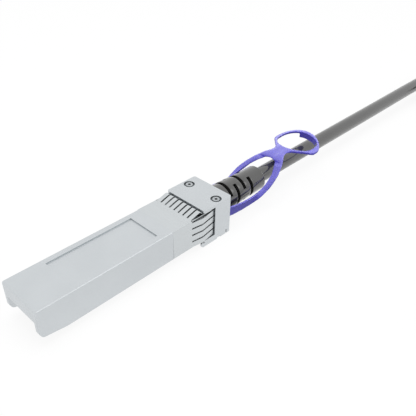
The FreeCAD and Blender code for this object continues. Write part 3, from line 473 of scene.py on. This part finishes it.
for end in ENDS:
    parts = [collar_band(end)]
    width, first, count, pitch = TOP_FINGERS
    finger = sheet_strip("top_finger", [(x, z + BODY_HIGH) for x, z in TOP_WAVE], width, first,
                         lambda x, z, y: place_on_plug(end, x, y, z))
    rows = [(finger, count, (0.0, pitch * MM, 0.0))]
    width, first, count, pitch = SIDE_FINGERS
    for side in (-1, 1):
        finger = sheet_strip("side_finger", [(x, y + BODY_HALF) for x, y in SIDE_WAVE], width, first,
                             lambda x, y, z: place_on_plug(end, x, y * side, z))
        rows.append((finger, count, (0.0, 0.0, pitch * MM)))
        strip = sheet_strip("corner_strip", [(x, BODY_HIGH) for x in CORNER_STRIP], SHEET, INNER_HALF,
                            lambda x, z, y: place_on_plug(end, x, y * side, z), steps=2)
        parts.append(baked(strip))
    for finger, number, step in rows:
        row = finger.modifiers.new("row", "NODES")
        row.node_group = FINGER_ROW
        set_inputs(row, Fingers=number, Pitch=step)
        parts.append(baked(finger))
    collar = joined(f"{end}_spring_collar", parts)
    collar.data.shade_smooth()
    flat_faced(collar, 40)
    shaded_in_crevices(collar)
    finish_with(collar, spring_sheet, "cable", "spring_sheet", f"{end}_emi_spring")

# Cover screws
# Two small countersunk steel machine screws with a round drive socket. They go through the housing's roof
# into posts of the lower casting and hold the two castings together.
STEEL_TONE = (0.52, 0.55, 0.565, 1.0)
STEEL_SHADE = (0.45, 0.475, 0.49, 1.0)
screw_steel = surface("plain_screw_steel", {"Metallic": 1.0}, SKIN_GRAIN, {
    "Grain": 7000.0, "Drift": 500.0, "Tone": STEEL_TONE, "Shade": STEEL_SHADE, "Smooth": 0.3,
    "Dull": 0.42}, 0.002 * MM)
# How far a screw is behind the nose and off the middle, and the reach of its drive socket
SCREW_X, SCREW_SIDE, SOCKET_REACH = 54.7, 5.0, 0.6
# How high the head starts, and the share of its width that is left
HEAD_FOOT = 8.4
HEAD_SHARE = 0.80


def slim_head(end):
    """Draws a screw's head in from its countersink, as the dark ring round it shows."""
    def moved(spot):
        side = 1 if spot.y > PLUG_AT[end].y * MM else -1
        axis = place_on_plug(end, SCREW_X, SCREW_SIDE * side, 0)
        out = Vector((spot.x - axis.x, spot.y - axis.y, 0.0))
        if spot.z < (PLUG_AT[end].z + HEAD_FOOT) * MM or out.length < SOCKET_REACH * MM:
            return spot
        return spot - out * (1 - HEAD_SHARE)
    return moved


for end in ENDS:
    screws = refined(f"{end}_cover_screws", f"{end}_screws", 0.06 * MM, moved=slim_head(end))
    finish_with(screws, screw_steel, "cable", "screw_steel", f"{end}_cover_screws")

# Latch cover, slide and pins
# Stamped stainless parts under the housing: the plate that closes it and carries the plug, the slide that
# presses the cage's latch, and the two pins that join the slide's ears to the arms of the tab.
for end in ENDS:
    plate = refined(f"{end}_latch_cover", f"{end}_foot_plate", 0.06 * MM)
    finish_with(plate, spring_sheet, "cable", "spring_sheet", f"{end}_latch_cover")
    slide = refined(f"{end}_latch_slide", f"{end}_slide", 0.05 * MM)
    finish_with(slide, spring_sheet, f"{end}_release", "spring_sheet", f"{end}_latch_slide")
    pins = refined(f"{end}_tab_pins", f"{end}_pins", 0.05 * MM)
    finish_with(pins, screw_steel, f"{end}_release", "screw_steel", f"{end}_tab_pins")

# Return springs
# Two small springs wound from plain steel wire, one in each groove of the lower casting. They push the
# slide forward, and shorten towards their stop when the tab is pulled.
SPRING_TURNS = 9.0
SPRING_RADIUS, SPRING_WIRE, SPRING_LENGTH = 0.52 * MM, 0.1 * MM, 4.66 * MM
# Where a spring starts: how far behind the nose, off the middle and up
SPRING_START = (47.57, 3.9, 0.67)


def spring_tree(material):
    """Geometry nodes for a wound wire spring that lies along X."""
    tree = bpy.data.node_groups.new("wound_spring", "GeometryNodeTree")
    face = tree.interface
    face.new_socket("Turns", in_out="INPUT", socket_type="NodeSocketFloat").default_value = 9.0
    face.new_socket("Radius", in_out="INPUT", socket_type="NodeSocketFloat").default_value = 0.0005
    face.new_socket("Wire", in_out="INPUT", socket_type="NodeSocketFloat").default_value = 0.0001
    face.new_socket("Length", in_out="INPUT", socket_type="NodeSocketFloat").default_value = 0.005
    face.new_socket("Start", in_out="INPUT", socket_type="NodeSocketVector")
    face.new_socket("Geometry", in_out="OUTPUT", socket_type="NodeSocketGeometry")
    inlet, outlet = tree.nodes.new("NodeGroupInput"), tree.nodes.new("NodeGroupOutput")
    wind = tree.nodes.new("GeometryNodeCurveSpiral")
    wind.inputs["Resolution"].default_value = 16
    section = tree.nodes.new("GeometryNodeCurvePrimitiveCircle")
    section.inputs["Resolution"].default_value = 8
    skin = tree.nodes.new("GeometryNodeCurveToMesh")
    skin.inputs["Fill Caps"].default_value = True
    lay = tree.nodes.new("GeometryNodeTransform")
    lay.inputs["Rotation"].default_value = (0.0, math.pi / 2, 0.0)
    real = tree.nodes.new("GeometryNodeRealizeInstances")
    coat = tree.nodes.new("GeometryNodeSetMaterial")
    coat.inputs["Material"].default_value = material
    wire(tree, (inlet, "Turns", wind, "Rotations"), (inlet, "Radius", wind, "Start Radius"),
         (inlet, "Radius", wind, "End Radius"), (inlet, "Length", wind, "Height"),
         (inlet, "Wire", section, "Radius"), (wind, "Curve", skin, "Curve"),
         (section, "Curve", skin, "Profile Curve"), (skin, "Mesh", lay, "Geometry"),
         (inlet, "Start", lay, "Translation"), (lay, "Geometry", real, "Geometry"),
         (real, "Geometry", coat, "Geometry"), (coat, "Geometry", outlet, "Geometry"))
    return tree


WOUND_SPRING = spring_tree(screw_steel)
for end in ENDS:
    coils = []
    for side in (-1, 1):
        coil = bpy.data.objects.new("spring", bpy.data.meshes.new("spring"))
        bpy.context.scene.collection.objects.link(coil)
        wind = coil.modifiers.new("wind", "NODES")
        wind.node_group = WOUND_SPRING
        along, aside, up = SPRING_START
        set_inputs(wind, Turns=SPRING_TURNS, Radius=SPRING_RADIUS, Wire=SPRING_WIRE, Length=SPRING_LENGTH,
                   Start=place_on_plug(end, along, aside * side, up))
        coils.append(baked(coil))
    springs = joined(f"{end}_springs", coils)
    springs.data.shade_smooth()
    finish_with(springs, screw_steel, "cable", "screw_steel", f"{end}_return_springs")
    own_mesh(springs)

# Circuit card
# Green glass fibre card that plugs into the cage's connector: gold contact pads on both faces, a small
# black memory chip and a row of ceramic capacitors, all soldered down.
solder_mask = surface("green_solder_mask", {"Coat Weight": 0.3}, SKIN_GRAIN, {
    "Grain": 2600.0, "Drift": 700.0, "Tone": (0.012, 0.10, 0.038, 1), "Shade": (0.008, 0.07, 0.028, 1),
    "Smooth": 0.3, "Dull": 0.45}, 0.004 * MM)
gold_plate = surface("gold_plate", {"Metallic": 1.0}, SKIN_GRAIN, {
    "Grain": 4000.0, "Drift": 900.0, "Tone": (0.80, 0.55, 0.20, 1), "Shade": (0.70, 0.47, 0.16, 1),
    "Smooth": 0.22, "Dull": 0.36}, 0.001 * MM)
moulded_black = surface("moulded_black_epoxy", {}, SKIN_GRAIN, {
    "Grain": 6500.0, "Drift": 900.0, "Tone": (0.022, 0.022, 0.023, 1), "Shade": (0.014, 0.014, 0.015, 1),
    "Smooth": 0.5, "Dull": 0.7}, 0.004 * MM)
fired_ceramic = surface("fired_ceramic", {}, SKIN_GRAIN, {
    "Grain": 6000.0, "Drift": 1500.0, "Tone": (0.32, 0.19, 0.10, 1), "Shade": (0.25, 0.145, 0.08, 1),
    "Smooth": 0.4, "Dull": 0.6}, 0.003 * MM)
for end in ENDS:
    coat_solid(f"{end}_paddle_card", solder_mask)
    coat_solid(f"{end}_card_contacts", gold_plate)
    coat_solid(f"{end}_memory_chip", moulded_black)
    coat_solid(f"{end}_capacitors", fired_ceramic)

# Cores, comb and ferrule
# Foil wrapped twinax cores fan out from the cable to the card through a moulded comb. A tinned ring is
# crimped on the braid and held in the saddle.
core_foil = surface("core_insulation", {}, ROLLED_STREAKS, {
    "Streaks": 500.0, "Tone": (0.52, 0.57, 0.63, 1), "Shade": (0.42, 0.47, 0.53, 1), "Smooth": 0.3,
    "Dull": 0.5}, 0.003 * MM)
comb_plastic = surface("moulded_comb", {}, SKIN_GRAIN, {
    "Grain": 4500.0, "Drift": 600.0, "Tone": (0.66, 0.64, 0.58, 1), "Shade": (0.58, 0.56, 0.50, 1),
    "Smooth": 0.45, "Dull": 0.6}, 0.003 * MM)
tinned = surface("tinned_crimp", {"Metallic": 1.0}, ROLLED_STREAKS, {
    "Streaks": 700.0, "Tone": (0.50, 0.51, 0.52, 1), "Shade": (0.42, 0.43, 0.44, 1), "Smooth": 0.35,
    "Dull": 0.5}, 0.002 * MM)
for end in ENDS:
    coat_solid(f"{end}_twinax_cores", core_foil)
    coat_solid(f"{end}_wire_comb", comb_plastic)
    coat_solid(f"{end}_crimp_ferrule", tinned)

# Strain relief boot
# Soft rubber sleeve moulded over the cable's end and caught in the housing's rear wall. Pairs of slots,
# each turned a quarter turn from the last, let it bend in every direction.
# The slots take a near-black painted shade, and lose the clear coat's shine
boot_rubber = surface("boot_rubber", {
    "IOR": 1.45, "Specular IOR Level": 0.1, "Coat IOR": 1.9, "Coat Roughness": 0.19}, SKIN_GRAIN, {
    "Grain": 5200.0, "Drift": 260.0, "Tone": (0.046, 0.046, 0.044, 1), "Shade": (0.036, 0.036, 0.034, 1),
    "Crevice Shade": (0.004, 0.004, 0.004, 1), "Smooth": 0.14, "Dull": 0.24}, 0.0015 * MM, coated=True)
# The first slot's middle, the slots' pitch and number, and how far from its middle a slot's walls lie
SLOT_FIRST, SLOT_PITCH, SLOT_COUNT, SLOT_WALLS = 62.6, 2.93, 4, 0.8
SLOT_WIDER = 0.3


def open_slots(end):
    """Widens the boot's slots on both sides of their middles, as the photograph shows them."""
    def moved(spot):
        along = spot.x / MM - PLUG_AT[end].x - SLOT_FIRST
        number = round(along / SLOT_PITCH)
        off = along - number * SLOT_PITCH
        if 0 <= number < SLOT_COUNT and abs(off) < SLOT_WALLS:
            return spot + Vector((off * SLOT_WIDER * MM, 0.0, 0.0))
        return spot
    return moved


for end in ENDS:
    boot = refined(f"{end}_strain_relief", f"{end}_boot", 0.10 * MM, turn=32, moved=open_slots(end))
    finish_with(boot, boot_rubber, "cable", "boot_rubber", f"{end}_strain_relief")

# Pull tab
# One moulding in violet plastic: two arms pinned to the slide pass the boot on either side, lean in over
# the cable and meet in a waist, and the finger ring arches up behind it with a deeper lip on one side.
VIOLET = (0.040, 0.029, 0.41, 1.0)
VIOLET_SHADE = (0.035, 0.025, 0.385, 1.0)
violet_plastic = surface("violet_plastic", {}, SKIN_GRAIN, {
    "Grain": 3800.0, "Drift": 120.0, "Tone": VIOLET, "Shade": VIOLET_SHADE,
    "Smooth": 0.38, "Dull": 0.45}, 0.0006 * MM)
# The front edge of the waist: how far back it is, how far round it counts, and how much it is lowered
CROTCH, CROTCH_REACH, CROTCH_DROP = 83.9, 0.4, 0.48
# The ring's top: a place on it, how steeply it climbs to the rear, and how flat it is across
RIM_FROM, RIM_TOP, RIM_CLIMB, RIM_FLAT = 88.61, 9.15, 0.069, 35.6
# The lip: where it starts and how far aside it ends, and how far its root and edge lie under the top
LIP_FROM, LIP_END, LIP_ROOT, LIP_EDGE = 98.0, 3.02, 0.4, 1.2
# How much deeper the lip gets, how its near end moves, and how closely a place is told
LIP_DEEPER = 0.45
LIP_LONGER = Vector((-0.85, -1.2, -0.245))
CLOSE = 0.05
# The ring's middle, how far its inside is from there at the rear and how much more at the side
RING_MIDDLE, RING_INSIDE, RING_WIDER, RIM_WIDTH = 96.67, 4.85, 1.1, 1.7
# The ring's near corner: its direction, how sharply it ends, and how far its two sides move towards
# each other
CORNER_TURN, CORNER_POWER = math.radians(62), 6
SLIM_INSIDE, SLIM_OUTSIDE = 0.8, 0.2


def trimmed_tab(end):
    """Lowers the waist's front edge to the arms, slims the ring's near corner and grows its lip."""
    def moved(spot):
        x, y, z = spot / MM - PLUG_AT[end]
        if abs(x - CROTCH) < CROTCH_REACH:
            return spot - Vector((0.0, 0.0, CROTCH_DROP * MM))
        under = RIM_TOP + (x - RIM_FROM) * RIM_CLIMB - y * y / RIM_FLAT - z
        if x > LIP_FROM and abs(y) < LIP_END + CLOSE and under > LIP_ROOT:
            if under > LIP_EDGE:
                spot = spot - Vector((0.0, 0.0, LIP_DEEPER * MM))
            if y < CLOSE - LIP_END:
                spot = spot + LIP_LONGER * MM
        out = spot / MM - PLUG_AT[end] - Vector((RING_MIDDLE, 0.0, 0.0))
        out.z = 0.0
        turn = math.atan2(out.y, out.x)
        corner = max(0.0, math.cos(turn + CORNER_TURN)) ** CORNER_POWER
        inside = RING_INSIDE + RING_WIDER * abs(turn) / (math.pi / 2)
        share = max(0.0, min(1.0, (out.length - inside) / RIM_WIDTH))
        push = corner * (SLIM_INSIDE * (1 - share) - SLIM_OUTSIDE * share)
        return spot + out.normalized() * push * MM
    return moved


SKIN_STEP = 0.15 * MM
WAIST_FROM, WAIST_TO = 78.5, 90.0
# The smoothing fades out over the last third towards either end of the waist
WAIST_FADE = 3
# How strongly and how often the waist's height is smoothed, and then the whole skin
FLOW, FLOW_ROUNDS = 0.6, 160
SOFTEN, SOFTEN_ROUNDS = 0.5, 8


def melted_together(tab, end):
    """Makes the arms, waist and ring one skin, and lets the arms flow into the waist."""
    skin = tab.modifiers.new("skin", "REMESH")
    skin.mode = "VOXEL"
    skin.voxel_size = SKIN_STEP
    baked(tab)
    waist = tab.vertex_groups.new(name="waist")
    middle = (WAIST_FROM + WAIST_TO) / 2
    for vertex in tab.data.vertices:
        along = vertex.co.x / MM - PLUG_AT[end].x
        near = 1 - abs(along - middle) / (WAIST_TO - middle)
        waist.add([vertex.index], max(0.0, min(1.0, near * WAIST_FADE)), "REPLACE")
    flow = tab.modifiers.new("flow", "SMOOTH")
    flow.factor = FLOW
    flow.iterations = FLOW_ROUNDS
    flow.use_x = False
    flow.use_y = False
    flow.vertex_group = "waist"
    soften = tab.modifiers.new("soften", "SMOOTH")
    soften.factor = SOFTEN
    soften.iterations = SOFTEN_ROUNDS
    baked(tab)
    tab.vertex_groups.clear()
    tab.data.shade_smooth()


for end in ENDS:
    tab = copied(f"{end}_pull_tab", f"{end}_tab", 0.12 * MM, turn=30, moved=trimmed_tab(end))
    melted_together(tab, end)
    finish_with(tab, violet_plastic, f"{end}_release", "violet_plastic", f"{end}_pull_tab")

# Coil tie
# A strap woven from black yarn that goes once round all the turns, on one side of the coil, and holds
# them together.
tie_weave = surface("tie_strap", {"Sheen Weight": 0.4, "Sheen Roughness": 0.4}, ROLLED_STREAKS, {
    "Streaks": 1500.0, "Tone": (0.030, 0.030, 0.032, 1), "Shade": (0.018, 0.018, 0.019, 1),
    "Smooth": 0.7, "Dull": 0.9}, 0.02 * MM)
tie = refined("coil_tie", "coil_strap", 0.15 * MM)
finish_with(tie, tie_weave, "cable", "tie_strap", "coil_tie")

# Twinax cable
# One metre of round copper cable in a smooth grey rubber jacket, from plug to plug. It runs straight out
# of the near plug, is wound up in a coil to the right, and goes back to the far plug beside the first.
CABLE_RADIUS = 2.3 * MM
COIL_MIDDLE = Vector((147.65, -26.3))
COIL_TURNS = 4.444
POINTS_PER_TURN = 18
NEAR_RUN = [(1.05, 0.0, 6.05), (41.535, 0.0, 6.05), (90.117, 0.1, 6.0), (136.0, 0.0, 6.4)]
FAR_RUN = [(145.4, -55.1, 6.9), (106.175, -67.4, 6.05), (65.35, -67.4, 6.05)]
# Where the turns lie: turns so far, then the radius or the height there, in millimetres
TURN_RADIUS = [(0.0, 26.3), (0.76, 26.3), (1.0, 21.7), (3.45, 21.7), (3.68, 26.3), (5.0, 26.3)]
TURN_HEIGHT = [(0.0, 6.2), (0.3, 2.9), (1.6, 2.9), (1.86, 7.5), (2.6, 7.5), (2.86, 12.1), (3.55, 12.1),
               (3.75, 10.6), (3.92, 10.9), (4.03, 10.9), (4.3, 7.5), (5.0, 7.4)]


def along_turns(stops, turn):
    """The value between two stops, eased at both."""
    for (start, low), (end, high) in zip(stops, stops[1:]):
        if turn <= end:
            share = (turn - start) / (end - start)
            return low + (high - low) * share * share * (3 - 2 * share)
    return stops[-1][1]


def coil_points():
    """The cable's turns, a diameter apart beside and on each other."""
    count = int(COIL_TURNS * POINTS_PER_TURN)
    # The spline runs inside its control points, at this share of their distance from the middle
    bulge = 0.75 + 0.25 * math.cos(2 * math.pi / POINTS_PER_TURN)
    points = []
    for number in range(1, count + 1):
        turn = COIL_TURNS * number / count
        angle = math.radians(90 - 360 * turn)
        reach = along_turns(TURN_RADIUS, turn) / bulge
        points.append((COIL_MIDDLE.x + reach * math.cos(angle), COIL_MIDDLE.y + reach * math.sin(angle),
                       along_turns(TURN_HEIGHT, turn)))
    return points


route = bpy.data.curves.new("twinax_cable", "CURVE")
route.dimensions = "3D"
route.bevel_depth = CABLE_RADIUS
route.bevel_resolution = 10
route.resolution_u = 8
route.use_fill_caps = True
stops = NEAR_RUN + coil_points() + FAR_RUN
line = route.splines.new("NURBS")
line.points.add(len(stops) - 1)
for point, (x, y, z) in zip(line.points, stops):
    point.co = (x * MM, y * MM, z * MM, 1.0)
line.order_u = 3
line.use_endpoint_u = True
cable = bpy.data.objects.new("twinax_cable", route)
bpy.context.scene.collection.objects.link(cable)
# Mirrored in itself, the coil would show as a dark line along the cable
cable.visible_glossy = False
jacket = surface("cable_jacket", {"IOR": 2.0, "Sheen Weight": 1.0, "Sheen Roughness": 0.35}, SKIN_GRAIN, {
    "Grain": 2400.0, "Drift": 140.0, "Tone": (0.042, 0.042, 0.040, 1), "Shade": (0.034, 0.034, 0.032, 1),
    "Smooth": 0.09, "Dull": 0.17}, 0.0015 * MM)
finish_with(cable, jacket, "cable", "cable_jacket", "near_cable_run", "cable_coil", "far_cable_run")

# Photo set
# A floor of white paper under plain soft light, from a white world and four lamps. The camera stands where
# the photograph's did, with the same lens.
WORLD_LIGHT = 0.42
# How bright the paper glows to the eye, and how much of what is seen is that glow: the rest takes the
# object's shadow
PAPER_BRIGHT = 1.045
PAPER_SHARE = 0.86


def seen_directly(tree):
    """A node that gives 1 where the camera, a mirror or glass looks, and 0 for soft light."""
    rays = tree.nodes.new("ShaderNodeLightPath")
    seen = tree.nodes.new("ShaderNodeMath")
    seen.operation = "MAXIMUM"
    direct = tree.nodes.new("ShaderNodeMath")
    direct.operation = "MAXIMUM"
    wire(tree, (rays, "Is Camera Ray", seen, 0), (rays, "Is Glossy Ray", seen, 1),
         (seen, "Value", direct, 0), (rays, "Is Transmission Ray", direct, 1))
    return direct


world = bpy.data.worlds.new("studio")
bpy.context.scene.world = world
world.use_nodes = True
sky = world.node_tree.nodes["Background"]
sky.inputs["Color"].default_value = (1.0, 1.0, 1.0, 1.0)
level = world.node_tree.nodes.new("ShaderNodeMapRange")
level.inputs["To Min"].default_value = WORLD_LIGHT
level.inputs["To Max"].default_value = 1.0
wire(world.node_tree, (seen_directly(world.node_tree), "Value", level, "Value"),
     (level, "Result", sky, "Strength"))

work = bmesh.new()
bmesh.ops.create_grid(work, x_segments=1, y_segments=1, size=3.0)
floor = made("floor", work)
paper = bpy.data.materials.new("white_paper")
paper.use_nodes = True
tree = paper.node_tree
shader = tree.nodes["Principled BSDF"]
shader.inputs["Base Color"].default_value = (0.88, 0.88, 0.88, 1.0)
shader.inputs["Roughness"].default_value = 0.9
shader.inputs["Specular IOR Level"].default_value = 0.0
glow = tree.nodes.new("ShaderNodeEmission")
glow.inputs["Color"].default_value = (1.0, 1.0, 1.0, 1.0)
glow.inputs["Strength"].default_value = PAPER_BRIGHT
mix = tree.nodes.new("ShaderNodeMixShader")
share = tree.nodes.new("ShaderNodeMath")
share.operation = "MULTIPLY"
share.inputs[1].default_value = PAPER_SHARE
wire(tree, (seen_directly(tree), "Value", share, 0), (share, "Value", mix, "Fac"),
     (shader, "BSDF", mix, 1), (glow, "Emission", mix, 2),
     (mix, "Shader", tree.nodes["Material Output"], "Surface"))
floor.data.materials.append(paper)

# An overhead softbox lights everything. One in front brightens the metal's rounded edges. Two on the
# right are for the tabs alone, so that their upper faces shine.
tabs_only = bpy.data.collections.new("tabs_only")
for end in ENDS:
    tabs_only.objects.link(bpy.data.objects[f"{end}_tab"])
for label, spot, size, power, shine, only in (
        ("overhead", (-0.02, 0.03, 0.60), 0.5, 1.9, False, None),
        ("edge_light", (0.19, -0.32, 0.32), 0.22, 0.16, True, None),
        ("tab_light", (0.42, 0.20, 0.45), 1.1, 12.0, True, tabs_only),
        ("tab_front", (0.36, -0.36, 0.28), 1.0, 8.0, True, tabs_only)):
    lamp = bpy.data.lights.new(label, "AREA")
    lamp.size = size
    lamp.energy = power
    holder = bpy.data.objects.new(label, lamp)
    holder.location = spot
    holder.rotation_euler = (Vector((0.0, 0.0, 0.0)) - Vector(spot)).to_track_quat("-Z", "Y").to_euler()
    holder.visible_glossy = shine
    holder.visible_diffuse = not only
    if only:
        holder.light_linking.receiver_collection = only
    bpy.context.scene.collection.objects.link(holder)

lens = bpy.data.cameras.new("camera")
lens.lens = 46.10
lens.sensor_width = 36.0
lens.clip_start = 0.005
lens.clip_end = 10.0
camera = bpy.data.objects.new("camera", lens)
camera.matrix_world = Matrix((
    (0.6942, 0.4028, -0.5965, -0.08428), (-0.7196, 0.4102, -0.5603, -0.08263),
    (0.0190, 0.8182, 0.5746, 0.08961), (0.0, 0.0, 0.0, 1.0)))
bpy.context.scene.collection.objects.link(camera)
bpy.context.scene.camera = camera
bpy.context.scene.view_settings.view_transform = "Standard"
